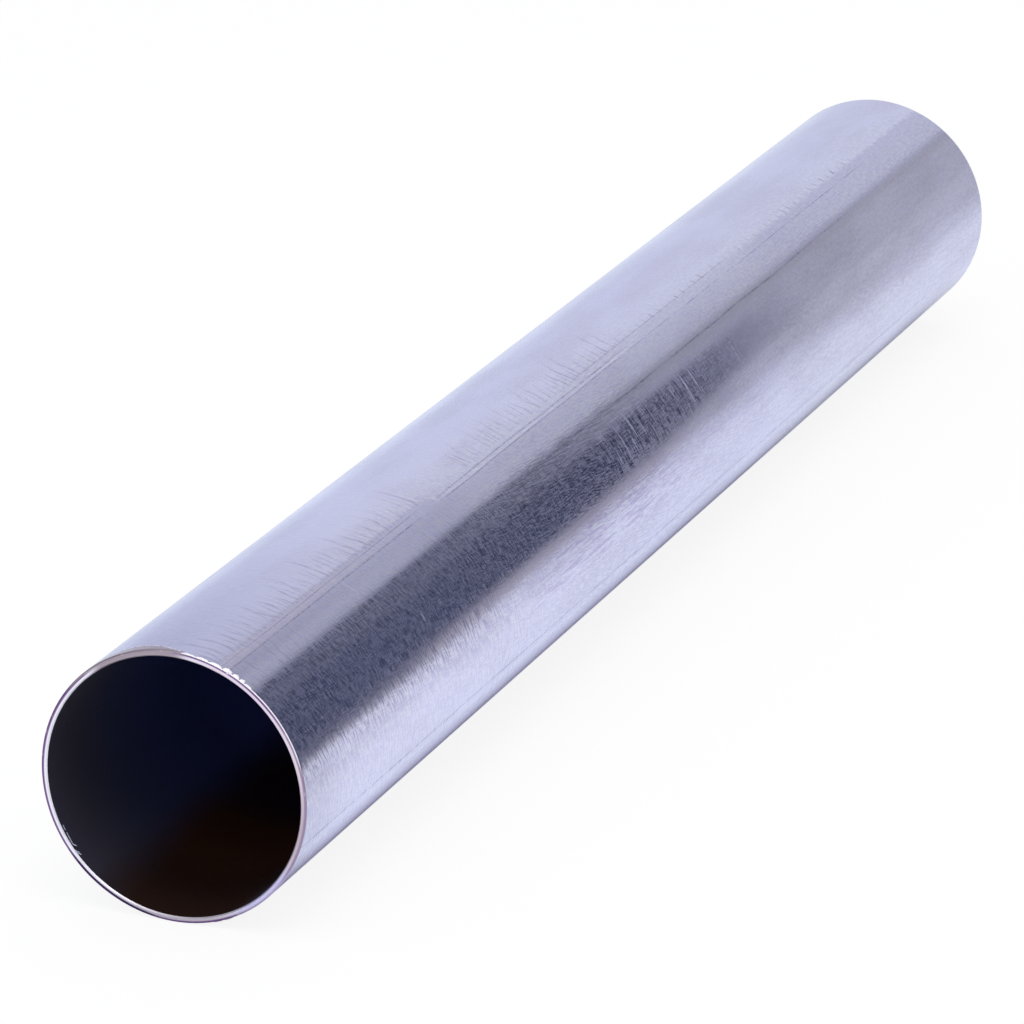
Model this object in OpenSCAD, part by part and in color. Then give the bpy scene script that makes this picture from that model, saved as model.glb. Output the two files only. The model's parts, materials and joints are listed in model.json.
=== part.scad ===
// One length of thin-walled welded steel conduit pipe, lying on its side along Y.
// Millimetres, +Z up. The origin is on the floor, under the middle of the pipe.

/* [Pipe] */
// Outside diameter
outside_d = 50; // [20:0.5:110]
// Thickness of the strip that the pipe is rolled from
wall = 1.1; // [0.9:0.05:3.5]
// Length between the two cut ends
pipe_length = 380; // [60:5:3000]

/* [Cut ends] */
// Radius that the cutter leaves on the outer edge of each end
outer_edge_r = 0.3; // [0.1:0.05:0.4]
// How far the reamer bites into the wall at each mouth
ream_bite = 0.2; // [0.05:0.05:0.4]
// Slope of the reamed edge, measured from the pipe's axis
ream_angle = 45; // [30:5:60]

/* [Weld seam] */
// Where the seam sits round the pipe, turned from +X up towards +Z
seam_angle = 68; // [0:1:359]
// Width of the flat track where the outside of the weld is scarfed off
scarf_w = 2.75; // [1:0.25:5]
// Width of the bead that the weld leaves along the inside
bead_w = 1.6; // [0.8:0.1:2.4]
// Height of that bead over the bore
bead_h = 0.15; // [0.05:0.05:0.2]

/* [Hidden] */

outside_r = outside_d / 2;
bore_r = outside_r - wall;
// Distance from the axis to the scarfed flat
scarf_reach = sqrt(pow(outside_r, 2) - pow(scarf_w / 2, 2));
// Radius of the bead's crown, from its width and height
bead_r = (pow(bead_h, 2) + pow(bead_w / 2, 2)) / (2 * bead_h);
// How deep the bead is rooted in the wall
bead_root = wall / 2;
// How far a cutter runs past what it cuts
overrun = 1;
$fn = 180;

// Half section of the wall beside its axis, with both outer edges rounded
module wall_profile() {
    difference() {
        translate([bore_r, -pipe_length / 2])
            square([wall, pipe_length]);
        for (side = [0, 1])
            mirror([0, side])
                translate([outside_r - outer_edge_r, pipe_length / 2 - outer_edge_r])
                    edge_waste();
    }
}

// What rounding takes off an outer edge: a square corner less a quarter round
module edge_waste() {
    difference() {
        square(outer_edge_r + overrun);
        circle(r = outer_edge_r);
    }
}

// Turns what is made on the +X side to where the seam sits
module at_seam() {
    rotate([0, 0, seam_angle])
        children();
}

// Low rounded bead along the inside of the weld
module inside_bead() {
    linear_extrude(height = pipe_length, center = true)
        intersection() {
            translate([bore_r - bead_h + bead_r, 0])
                circle(r = bead_r);
            circle(r = bore_r + bead_root);
        }
}

// Metal that the scarfing tool shaves off the outside of the weld
module scarf_waste() {
    translate([scarf_reach, -scarf_w, -pipe_length / 2 - overrun])
        cube([scarf_w, 2 * scarf_w, pipe_length + 2 * overrun]);
}

// Cone that the reamer sweeps at the upper mouth: it meets the cut end ream_bite outside
// the bore, and at the same slope runs on past the end and in past the bead
module ream_waste() {
    slope = tan(ream_angle);
    run_in = (ream_bite + bead_h + overrun) / slope;
    translate([0, 0, pipe_length / 2 - run_in])
        cylinder(
            h = run_in + overrun,
            r1 = bore_r - bead_h - overrun,
            r2 = bore_r + ream_bite + overrun * slope
        );
}

// The pipe along Z
module upright_pipe() {
    difference() {
        union() {
            rotate_extrude()
                wall_profile();
            at_seam()
                inside_bead();
        }
        at_seam()
            scarf_waste();
        for (side = [0, 1])
            mirror([0, 0, side])
                ream_waste();
    }
}

// Laid down, its own Z runs along -Y, and its own X and Y become the world's X and Z
module pipe() {
    color([0.72, 0.72, 0.80])
        translate([0, 0, outside_r])
            rotate([90, 0, 0])
                upright_pipe();
}

pipe();
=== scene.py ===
"""Looks for one length of thin-walled welded steel conduit pipe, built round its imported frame.

The pipe lies along Y with its near mouth at -Y. Its surface carries a UV map that is a ruler:
U is millimetres along the pipe from its middle, and V is degrees round it from +X towards +Z. Every
mark on the zinc is placed in those two units.
"""

from __future__ import annotations

import json
import logging
import math
import random
from dataclasses import asdict, dataclass, field
from enum import Enum
from functools import partial, reduce
from typing import ClassVar

import bmesh
import bpy
from mathutils import Matrix, Vector, noise

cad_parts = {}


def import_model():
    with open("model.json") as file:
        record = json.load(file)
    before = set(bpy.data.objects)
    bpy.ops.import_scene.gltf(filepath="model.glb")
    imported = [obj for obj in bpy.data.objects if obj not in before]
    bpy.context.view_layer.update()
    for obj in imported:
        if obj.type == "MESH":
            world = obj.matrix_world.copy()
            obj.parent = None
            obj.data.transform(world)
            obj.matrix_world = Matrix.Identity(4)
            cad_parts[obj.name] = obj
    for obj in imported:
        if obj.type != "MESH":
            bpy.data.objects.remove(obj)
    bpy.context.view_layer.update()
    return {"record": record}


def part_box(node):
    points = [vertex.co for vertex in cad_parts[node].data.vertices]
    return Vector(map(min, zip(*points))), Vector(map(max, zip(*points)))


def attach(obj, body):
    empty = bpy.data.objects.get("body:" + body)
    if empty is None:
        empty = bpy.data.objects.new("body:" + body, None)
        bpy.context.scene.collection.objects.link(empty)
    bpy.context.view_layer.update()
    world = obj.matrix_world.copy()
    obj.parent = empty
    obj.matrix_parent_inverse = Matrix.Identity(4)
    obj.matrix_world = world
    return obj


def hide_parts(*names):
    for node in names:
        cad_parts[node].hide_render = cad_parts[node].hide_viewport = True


LOG = logging.getLogger("conduit")

MM = 0.001
RULER = "ruler"
ROOT = "root"
NODE = "pipe"

Colour = tuple[float, float, float]
Socket = bpy.types.NodeSocket

WHITE: Colour = (1.0, 1.0, 1.0)

# The mouths' distance from the pipe's middle, in millimetres, as the ruler has it.
MOUTH_AT = 190.0
# Two spans round a cut end that its sawn face and its rolled edge share, as windows on the ruler.
LILAC_SPAN = (-68.0, -24.0, 14.0)
LOW_RIM_SPAN = (214.0, 266.0, 10.0)
# The near-black violet that the outer rim is painted along the low span, low on the left.
LOW_RIM_DARK: Colour = (0.045, 0.018, 0.090)


class End(Enum):
    """The two cut ends of the pipe, by the sign of Y that they face."""

    NEAR = -1
    FAR = 1


class Skin(Enum):
    """What a face of the pipe is made of. The values are the pipe's material slots."""

    ZINC = 0
    CUT = 1
    ARRIS = 2
    ENAMEL = 3


# --------------------------------------------------------------------------------------------------
# Node trees
# --------------------------------------------------------------------------------------------------


class Graph:
    """A node tree with short ways to add nodes and join them.

    A value is a number or another node's output. A method gives back its own node's output, unless
    it says otherwise.
    """

    def __init__(self, tree: bpy.types.NodeTree) -> None:
        """Starts from an emptied tree.

        Args:
            tree: The material's, world's or group's node tree.
        """
        self.tree = tree
        tree.nodes.clear()

    def node(self, kind: str, inputs: dict | None = None, **settings: object) -> bpy.types.Node:
        """Adds a node.

        Args:
            kind: The node's type name, without its ShaderNode prefix.
            inputs: Socket name or index to a value, or to the output that feeds it.
            settings: Properties of the node itself.

        Returns:
            The new node.
        """
        made = self.tree.nodes.new(kind if kind.startswith("Node") else "ShaderNode" + kind)
        for name, value in settings.items():
            setattr(made, name, value)
        for name, value in (inputs or {}).items():
            self.feed(made.inputs[name], value)
        return made

    def feed(self, socket: Socket, value: object) -> None:
        """Links an output to a socket, or sets the socket's own value.

        Args:
            socket: The input to fill.
            value: An output socket, a number or a tuple.
        """
        if isinstance(value, Socket):
            self.tree.links.new(value, socket)
        elif socket.type == "RGBA" and len(value) == 3:
            socket.default_value = (*value, 1.0)
        else:
            socket.default_value = value

    def math(self, operation: str, *terms: object, clamp: bool = False) -> Socket:
        """Adds a Math node.

        Args:
            operation: Its operation, such as "MULTIPLY".
            terms: One to three values.
            clamp: Whether the result is kept from 0 to 1.

        Returns:
            Its output.
        """
        return self.node("Math", dict(enumerate(terms)), operation=operation, use_clamp=clamp).outputs[0]

    def product(self, *values: object) -> Socket:
        """Multiplies any number of values."""
        return reduce(partial(self.math, "MULTIPLY"), values)

    def largest(self, *values: object) -> Socket:
        """Takes the largest of any number of values."""
        return reduce(partial(self.math, "MAXIMUM"), values)

    def plus(self, first: object, second: object) -> Socket:
        """Adds two values."""
        return self.math("ADD", first, second)

    def minus(self, first: object, second: object) -> Socket:
        """Takes the second value from the first."""
        return self.math("SUBTRACT", first, second)

    def over(self, first: object, second: object) -> Socket:
        """Divides the first value by the second."""
        return self.math("DIVIDE", first, second)

    def shift(self, base: object, value: object, share: object) -> Socket:
        """Adds a share of a value to a base."""
        return self.math("MULTIPLY_ADD", value, share, base)

    def ramp(
        self, value: object, low: object, high: object, to_low: object = 0.0, to_high: object = 1.0
    ) -> Socket:
        """Carries a value smoothly from one range into another.

        Args:
            value: The value to carry.
            low: Where the ramp starts.
            high: Where it ends.
            to_low: The result at and before low.
            to_high: The result at and past high.

        Returns:
            The result.
        """
        ends = {0: value, 1: low, 2: high, 3: to_low, 4: to_high}
        return self.node("MapRange", ends, interpolation_type="SMOOTHSTEP").outputs[0]

    def window(self, value: object, low: object, high: object, soft: object) -> Socket:
        """Gives 1 between two values and 0 outside them.

        Args:
            value: The value to test.
            low: Where the window opens.
            high: Where it has closed again.
            soft: How far each side takes to open or close.

        Returns:
            The mask.
        """
        opened = self.ramp(value, low, self.plus(low, soft))
        return self.product(opened, self.ramp(value, self.minus(high, soft), high, 1.0, 0.0))

    def blend(self, share: object, first: object, second: object, mode: str = "MIX") -> Socket:
        """Mixes two colours.

        Args:
            share: How much of the second one shows.
            first: The lower colour.
            second: The upper colour.
            mode: The blend mode.

        Returns:
            The colour.
        """
        inputs = {0: share, 6: first, 7: second}
        return self.node("Mix", inputs, data_type="RGBA", blend_type=mode).outputs[2]

    def layered(self, base: object, *layers: tuple[object, object]) -> Socket:
        """Lays colours over a base colour, each given as a pair: its share, and itself."""
        return reduce(lambda below, layer: self.blend(layer[0], below, layer[1]), layers, base)

    def vector(self, x: object, y: object, z: object = 0.0) -> Socket:
        """Joins three values into a vector."""
        return self.node("CombineXYZ", {0: x, 1: y, 2: z}).outputs[0]

    def split(self, vector: Socket) -> bpy.types.NodeOutputs:
        """Takes a vector apart and returns its three outputs."""
        return self.node("SeparateXYZ", {0: vector}).outputs

    def place(self) -> Socket:
        """Reads the place in the object's own coordinates."""
        return self.node("TexCoord").outputs["Object"]

    def clouds(self, place: object, scale: float = 1.0, detail: float = 3.0, rough: float = 0.5) -> Socket:
        """Adds a noise texture.

        Args:
            place: The vector that it reads.
            scale: Its scale.
            detail: Its octaves.
            rough: How strong the finer octaves are.

        Returns:
            The noise's value, about 0.5 on average.
        """
        inputs = {"Vector": place, "Scale": scale, "Detail": detail, "Roughness": rough}
        return self.node("TexNoise", inputs).outputs[0]

    def patchwork(
        self, *axes: tuple[object, object], seed: object, detail: float = 3.0, rough: float = 0.5
    ) -> Socket:
        """Adds noise over one or two values, in patches of a given size.

        Args:
            axes: Each value with the size of a patch along it.
            seed: Which of many such patterns it is.
            detail: The noise's octaves.
            rough: How strong the finer octaves are.

        Returns:
            The noise's value, about 0.5 on average.
        """
        place = self.vector(*(self.over(value, size) for value, size in axes), seed)
        return self.clouds(place, detail=detail, rough=rough)

    def bump(self, height: Socket, depth_mm: float, strength: float) -> Socket:
        """Turns a height into a normal, with its depth in millimetres."""
        inputs = {"Height": height, "Distance": depth_mm * MM, "Strength": strength}
        return self.node("Bump", inputs).outputs[0]

    def group(self, tree: bpy.types.NodeTree, **inputs: object) -> bpy.types.NodeOutputs:
        """Places a node group.

        Args:
            tree: The group.
            inputs: Its input names, with _ for each space, to their values.

        Returns:
            The group's outputs.
        """
        named = {name.replace("_", " "): value for name, value in inputs.items()}
        return self.node("Group", named, node_tree=tree).outputs

    def glow(self, colour: object) -> bpy.types.Node:
        """Adds a shader that gives off a colour, and returns its node."""
        return self.node("Emission", {"Color": colour})

    def show(self, shader: bpy.types.Node, kind: str = "OutputMaterial") -> None:
        """Joins a shader to a new material or world output."""
        self.node(kind, {"Surface": shader.outputs[0]})


class GroupGraph(Graph):
    """A node group under construction."""

    def __init__(self, name: str, inputs: dict[str, float], outputs: tuple[str, ...]) -> None:
        """Makes the group and its sockets, all of them single values.

        Args:
            name: The group's name.
            inputs: Input names to their first values.
            outputs: Output names.
        """
        tree = bpy.data.node_groups.new(name, "ShaderNodeTree")
        super().__init__(tree)
        for socket_name, value in inputs.items():
            made = tree.interface.new_socket(socket_name, in_out="INPUT", socket_type="NodeSocketFloat")
            made.default_value = value
        for socket_name in outputs:
            tree.interface.new_socket(socket_name, in_out="OUTPUT", socket_type="NodeSocketFloat")
        self.given = self.node("NodeGroupInput").outputs
        self.result = self.node("NodeGroupOutput").inputs

    def done(self, **values: object) -> bpy.types.NodeTree:
        """Feeds the group's outputs.

        Args:
            values: Output names, with _ for each space, to what feeds them.

        Returns:
            The finished group.
        """
        for name, value in values.items():
            self.feed(self.result[name.replace("_", " ")], value)
        return self.tree


@dataclass(frozen=True)
class MarkGroups:
    """The shader groups that the pipe's finishes share, each built once."""

    ruler: bpy.types.NodeTree
    strokes: bpy.types.NodeTree
    hairline: bpy.types.NodeTree
    chatter: bpy.types.NodeTree
    scratch: bpy.types.NodeTree

    @classmethod
    def build(cls, degree_mm: float, axis_z: float) -> MarkGroups:
        """Builds every group.

        Args:
            degree_mm: How long one degree of the pipe's outside is, in millimetres.
            axis_z: The height of the pipe's axis.

        Returns:
            The groups.
        """
        return cls(
            ruler=cls._ruler(degree_mm, axis_z),
            strokes=cls._strokes(),
            hairline=cls._hairline(),
            chatter=cls._chatter(),
            scratch=cls._scratch(),
        )

    @staticmethod
    def _ruler(degree_mm: float, axis_z: float) -> bpy.types.NodeTree:
        """Reads a point's place on the pipe, in millimetres and, round it, in degrees too."""
        names = ("Along", "Round", "Arc", "Wavy arc", "Radius", "Side", "Height")
        graph = GroupGraph("pipe ruler", {}, names)
        along, around, _ = graph.split(graph.node("UVMap", uv_map=RULER).outputs[0])
        arc = graph.product(around, degree_mm)
        slow = graph.patchwork((along, 34.0), (arc, 14.0), seed=4.0, detail=2.0)
        wave = graph.product(graph.minus(slow, 0.5), 2.2)
        sloped = graph.shift(arc, graph.ramp(along, -190.0, 0.0), 15.0)
        place = graph.split(graph.place())
        side = graph.over(place[0], MM)
        height = graph.over(graph.minus(place[2], axis_z), MM)
        spoke = graph.vector(side, height)
        radius = graph.node("VectorMath", {0: spoke}, operation="LENGTH").outputs["Value"]
        wavy = graph.plus(sloped, wave)
        return graph.done(
            Along=along, Round=around, Arc=arc, Wavy_arc=wavy, Radius=radius, Side=side, Height=height
        )

    @staticmethod
    def _strokes() -> bpy.types.NodeTree:
        """Fine strokes of a given length and breadth, lying along the pipe or round it."""
        start = {"Along": 0.0, "Arc": 0.0, "Along size": 1.0, "Arc size": 1.0, "Lean": 0.0, "Seed": 0.0}
        graph = GroupGraph("drawn strokes", start, ("Height",))
        given = graph.given
        leaned = graph.shift(given["Along"], given["Arc"], given["Lean"])
        sized = ((leaned, given["Along size"]), (given["Arc"], given["Arc size"]))
        height = graph.patchwork(*sized, seed=given["Seed"], detail=2.0, rough=0.6)
        return graph.done(Height=graph.ramp(height, 0.34, 0.66, -0.5, 0.5))

    @staticmethod
    def _hairline() -> bpy.types.NodeTree:
        """A thin line along the pipe that wanders a little and comes and goes."""
        names = ("Along", "Round", "Angle", "Width", "Wander", "Start", "Stop", "Breaks", "Seed")
        graph = GroupGraph("hairline", dict.fromkeys(names, 0.0), ("Mask",))
        given = graph.given
        slow = graph.patchwork((given["Along"], 45.0), seed=given["Seed"], detail=2.0)
        drift = graph.product(graph.minus(slow, 0.5), given["Wander"], 4.0)
        offset = graph.minus(graph.minus(given["Round"], given["Angle"]), drift)
        line = graph.ramp(graph.math("ABSOLUTE", offset), 0.0, given["Width"], 1.0, 0.0)
        beat = graph.patchwork((given["Along"], 9.0), seed=graph.plus(given["Seed"], 7.3))
        strength = graph.ramp(beat, 0.35, 0.62, graph.minus(1.0, given["Breaks"]), 1.0)
        stretch = graph.window(given["Along"], given["Start"], given["Stop"], 12.0)
        return graph.done(Mask=graph.product(line, strength, stretch))

    @staticmethod
    def _chatter() -> bpy.types.NodeTree:
        """Hairline marks across the pipe at a steady pitch, each of its own length and strength."""
        names = ("Along", "Round", "Pitch", "Width", "Foot", "Reach", "Start", "Stop", "Seed", "Lean")
        graph = GroupGraph("chatter marks", dict.fromkeys(names, 0.0), ("Mask",))
        given = graph.given
        above = graph.minus(given["Round"], given["Foot"])
        curl = graph.product(above, above, given["Lean"], 0.01)
        sized = ((given["Along"], 11.0), (given["Round"], 24.0))
        slow = graph.patchwork(*sized, seed=given["Seed"], detail=2.0)
        sway = graph.product(graph.minus(slow, 0.5), 4.5)
        beat = graph.over(graph.minus(graph.plus(given["Along"], sway), curl), given["Pitch"])
        count = graph.math("FLOOR", beat)
        away = graph.math("ABSOLUTE", graph.minus(graph.minus(beat, count), 0.5))
        line = graph.ramp(graph.product(away, given["Pitch"]), 0.0, given["Width"], 1.0, 0.0)
        chance = graph.node("TexWhiteNoise", {"Vector": graph.vector(count, given["Seed"])})
        dice = graph.node("SeparateColor", {0: chance.outputs["Color"]}).outputs
        length = graph.product(given["Reach"], graph.ramp(dice[0], 0.0, 1.0, 0.55, 1.0))
        fade = graph.ramp(graph.over(above, length), 0.35, 1.0, 1.0, 0.0)
        rooted = graph.ramp(above, -0.6, 0.0)
        strength = graph.ramp(dice[1], 0.0, 1.0, 0.3, 1.0)
        stretch = graph.window(given["Along"], given["Start"], given["Stop"], 6.0)
        return graph.done(Mask=graph.product(line, fade, rooted, strength, stretch))

    @staticmethod
    def _scratch() -> bpy.types.NodeTree:
        """One single scratch, along the pipe or across it, with tapered ends."""
        names = ("Along", "Round", "Middle along", "Middle round", "Half along", "Half round")
        graph = GroupGraph("single scratch", dict.fromkeys(names, 0.0), ("Mask",))
        given = graph.given
        along = graph.over(graph.minus(given["Along"], given["Middle along"]), given["Half along"])
        around = graph.over(graph.minus(given["Round"], given["Middle round"]), given["Half round"])
        reach = graph.plus(graph.math("POWER", along, 2.0), graph.math("POWER", around, 2.0))
        return graph.done(Mask=graph.ramp(reach, 0.2, 1.0, 1.0, 0.0))


# --------------------------------------------------------------------------------------------------
# Marks
# --------------------------------------------------------------------------------------------------


@dataclass(frozen=True)
class Mark:
    """A mark that a shared group draws. Its fields are the group's inputs, apart from its share."""

    def inputs(self) -> dict[str, float]:
        """Gives the group's input names, with _ for each space, to their values."""
        return {name.capitalize(): value for name, value in asdict(self).items() if name != "share"}


@dataclass(frozen=True)
class Hairline(Mark):
    """A line along the zinc: angle and width in degrees, start and stop in millimetres."""

    angle: float
    width: float
    wander: float
    start: float
    stop: float
    breaks: float
    seed: float
    share: float = 1.0


@dataclass(frozen=True)
class ChatterRow(Mark):
    """A row of marks across the zinc: its foot and reach in degrees, all else in millimetres."""

    pitch: float
    width: float
    foot: float
    reach: float
    start: float
    stop: float
    seed: float
    share: float
    lean: float = 0.0


@dataclass(frozen=True)
class Scratch(Mark):
    """One scratch in the zinc, by its middle and its half sizes, in millimetres and degrees."""

    middle_along: float
    middle_round: float
    half_along: float
    half_round: float
    share: float = 1.0


class Surface:
    """A finish's tree with the pipe's ruler and the shared marks at hand."""

    def __init__(self, graph: Graph, groups: MarkGroups) -> None:
        """Places the ruler.

        Args:
            graph: The finish's graph.
            groups: The shared mark groups.
        """
        self.graph = graph
        self.groups = groups
        ruler = graph.group(groups.ruler)
        self.along, self.around, self.arc, self.wavy, self.radius, self.side, self.height = ruler

    def patch(self, span: tuple[float, ...], stretch: tuple[float, ...]) -> Socket:
        """Masks a window round the pipe, times a ramp along it."""
        return self.graph.product(
            self.graph.window(self.around, *span), self.graph.ramp(self.along, *stretch)
        )

    def area(self, stretch: tuple[float, ...], span: tuple[float, ...], share: float = 1.0) -> Socket:
        """Masks a window along the pipe, times one round it, times a share."""
        return self.graph.product(
            self.graph.window(self.along, *stretch), self.graph.window(self.around, *span), share
        )

    def strokes(self, arc: Socket, **sizes: float) -> Socket:
        """Lays fine strokes, whose height goes from -0.5 to 0.5."""
        return self.graph.group(self.groups.strokes, Along=self.along, Arc=arc, **sizes)[0]

    def draw(self, tree: bpy.types.NodeTree, mark: Mark) -> Socket:
        """Draws a mark and returns its mask, times the mark's share."""
        drawn = self.graph.group(tree, Along=self.along, Round=self.around, **mark.inputs())[0]
        return drawn if mark.share == 1.0 else self.graph.product(drawn, mark.share)


# --------------------------------------------------------------------------------------------------
# Finishes
# --------------------------------------------------------------------------------------------------


def new_material(name: str) -> tuple[bpy.types.Material, Graph]:
    """Makes a material with an empty tree.

    Args:
        name: The material's name.

    Returns:
        The material and its graph.
    """
    material = bpy.data.materials.new(name)
    material.use_nodes = True
    return material, Graph(material.node_tree)


class Finish:
    """A finish of the pipe, built the same way whatever feeds its shader."""

    title: ClassVar[str]

    def material(self, groups: MarkGroups) -> bpy.types.Material:
        """Builds the finish.

        Args:
            groups: The shared mark groups.

        Returns:
            The material.
        """
        made, graph = new_material(self.title)
        graph.show(graph.node("BsdfPrincipled", self.sockets(graph, Surface(graph, groups))))
        return made

    def sockets(self, graph: Graph, at: Surface) -> dict[str, object]:
        """Works out what the shader is fed.

        Args:
            graph: The material's graph.
            at: The same graph's surface, which knows the place on the pipe.

        Returns:
            The shader's socket names to their values.
        """
        raise NotImplementedError


@dataclass(frozen=True)
class ZincMarks:
    """What the zinc's colour, haze and gloss all read: its strokes, and where some of them lie."""

    tip: Socket
    torn: Socket
    brushed: Socket
    fans: Socket
    dashes: Socket
    lines: Socket
    patches: Socket
    relief: Socket
    dark: Socket
    cuts: Socket


@dataclass(frozen=True)
class ZincFinish(Finish):
    """Bright zinc over drawn and welded strip, with the marks of the mill on it.

    Its tables place everything by the ruler: windows and ramps along the pipe in millimetres, and
    round it in degrees.
    """

    title = "bright zinc"
    clean: Colour = (0.620, 0.630, 0.805)
    dull: Colour = (0.55, 0.545, 0.695)
    tan: Colour = (0.50, 0.49, 0.50)
    lee: Colour = (0.495, 0.500, 0.680)
    mark: Colour = (0.16, 0.14, 0.24)
    bright: Colour = (0.85, 0.86, 1.0)
    silver: Colour = (0.78, 0.78, 0.95)
    mauve: Colour = (0.33, 0.26, 0.50)
    rusty: Colour = (0.50, 0.455, 0.56)
    ragged: Colour = (0.21, 0.19, 0.28)
    filed: Colour = (0.40, 0.34, 0.37)
    edge_tint: Colour = (0.83, 0.86, 1.0)
    roughness: float = 0.17
    least_roughness: float = 0.08
    anisotropy: float = 0.2
    seam_angle: float = 68.0
    seam_half: float = 3.1
    relief_mm: float = 0.0037
    dust: float = 0.14
    scratches: tuple[Scratch, ...] = (
        Scratch(-141.0, 60.5, 0.4, 5.5, 0.3),
        Scratch(-128.5, 32.0, 0.4, 3.0),
        Scratch(-94.6, 67.0, 0.9, 2.4, 0.35),
        Scratch(-30.5, 29.0, 0.3, 4.0, 0.6),
        Scratch(-26.0, 33.0, 0.35, 11.0),
        Scratch(-22.0, 31.0, 0.3, 5.0),
        Scratch(-19.5, 38.0, 0.3, 7.5),
        Scratch(-15.5, 36.0, 0.3, 7.0),
        Scratch(-11.7, 29.0, 0.4, 4.0),
        Scratch(3.0, 38.0, 0.3, 4.0),
        Scratch(10.0, 33.5, 0.55, 9.0),
        Scratch(14.6, 35.5, 0.35, 7.0),
        Scratch(22.0, 39.0, 0.3, 5.0, 0.5),
        Scratch(37.0, 32.0, 0.3, 7.5),
        Scratch(174.0, 28.6, 5.0, 0.4),
    )

    def sockets(self, graph: Graph, at: Surface) -> dict[str, object]:
        """Works out what the shader is fed, as the base class says."""
        marks = self._marks(graph, at)
        colour = graph.blend(1.0, self._colour(graph, at, marks), self._shade(graph, at, marks), "MULTIPLY")
        return {
            "Base Color": colour,
            "Metallic": self._haze(graph, marks),
            "Roughness": self._gloss(graph, marks),
            "Specular Tint": self.edge_tint,
            "Anisotropic": self.anisotropy,
            "Normal": graph.bump(marks.relief, self.relief_mm, 1.0),
            "Tangent": graph.node("Tangent", direction_type="UV_MAP", uv_map=RULER).outputs[0],
        }

    def _marks(self, graph: Graph, at: Surface) -> ZincMarks:
        """Lays the strokes, lines and scratches, and works out the relief."""
        along, around = at.along, at.around
        rise, fall = graph.ramp(along, -44.0, -28.0), graph.ramp(along, 8.0, 58.0, 1.0, 0.0)
        tip = graph.product(rise, fall, graph.window(around, 18.0, 54.0, 9.0))
        dashes = at.strokes(at.wavy, Along_size=16.0, Arc_size=1.5, Seed=2.0)
        fans = at.strokes(at.arc, Along_size=0.55, Arc_size=3.0, Lean=0.32, Seed=6.0)
        patches = graph.patchwork((along, 30.0), (at.arc, 9.0), seed=3.0, detail=4.0)
        return ZincMarks(
            tip=tip,
            torn=at.patch((8.0, 24.0, 6.0), (-116.0, -96.0, 1.0, 0.0)),
            brushed=at.area((-100.0, 8.0, 34.0), (34.0, 60.0, 8.0)),
            fans=fans,
            dashes=dashes,
            lines=at.strokes(at.wavy, Along_size=7.0, Arc_size=0.26, Seed=12.0),
            patches=patches,
            relief=self._relief(graph, at, tip, dashes, fans, patches),
            dark=graph.product(self._dark_marks(graph, at), graph.ramp(fans, -0.5, 0.3, 0.4, 1.0)),
            cuts=graph.largest(*(at.draw(at.groups.scratch, scratch) for scratch in self.scratches)),
        )

    def _relief(
        self, graph: Graph, at: Surface, tip: Socket, dashes: Socket, fans: Socket, patches: Socket
    ) -> Socket:
        """Adds up the strokes, each as strong as its stretch of the pipe has it."""
        along, around = at.along, at.around
        low = graph.ramp(around, 16.0, 26.0, 1.0, 0.0)
        near = graph.ramp(along, -110.0, -45.0, 1.0, 0.0)
        row = at.area((-109.0, -91.0, 5.0), (34.0, 70.0, 6.0), 0.5)
        fringe = at.area((-192.0, -115.0, 14.0), (42.0, 60.0, 4.0), 0.35)
        crossed = graph.product(graph.shift(0.44, near, 0.38), graph.minus(1.0, low))
        crossed = graph.shift(crossed, tip, 0.4)
        grained = graph.minus(graph.shift(0.85, near, -0.45), graph.product(tip, 0.12))
        fanned = graph.shift(graph.shift(0.05, near, 0.2), graph.product(near, low), 0.5)
        barred = graph.shift(graph.plus(row, fringe), tip, 0.8)

        cross = at.strokes(at.arc, Along_size=0.34, Arc_size=1.9, Lean=0.16, Seed=5.0)
        grain = at.strokes(at.wavy, Along_size=2.6, Arc_size=0.30, Seed=1.0)
        bars = at.strokes(at.arc, Along_size=0.50, Arc_size=7.0, Seed=9.0)
        relief = graph.product(cross, crossed)
        dashed = graph.ramp(along, -110.0, -40.0, 0.1, 0.2)
        for strokes, share in ((grain, grained), (fans, fanned), (bars, barred), (dashes, dashed)):
            relief = graph.shift(relief, strokes, share)
        busy = graph.ramp(along, -60.0, 60.0, 1.0, 0.6)
        busy = graph.shift(busy, graph.window(along, -110.0, 20.0, 25.0), 0.3)
        busy = graph.product(busy, graph.ramp(around, 64.0, 84.0, 1.0, 0.35))
        return graph.product(relief, busy, graph.ramp(patches, 0.36, 0.62, 0.8, 1.2))

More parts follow.
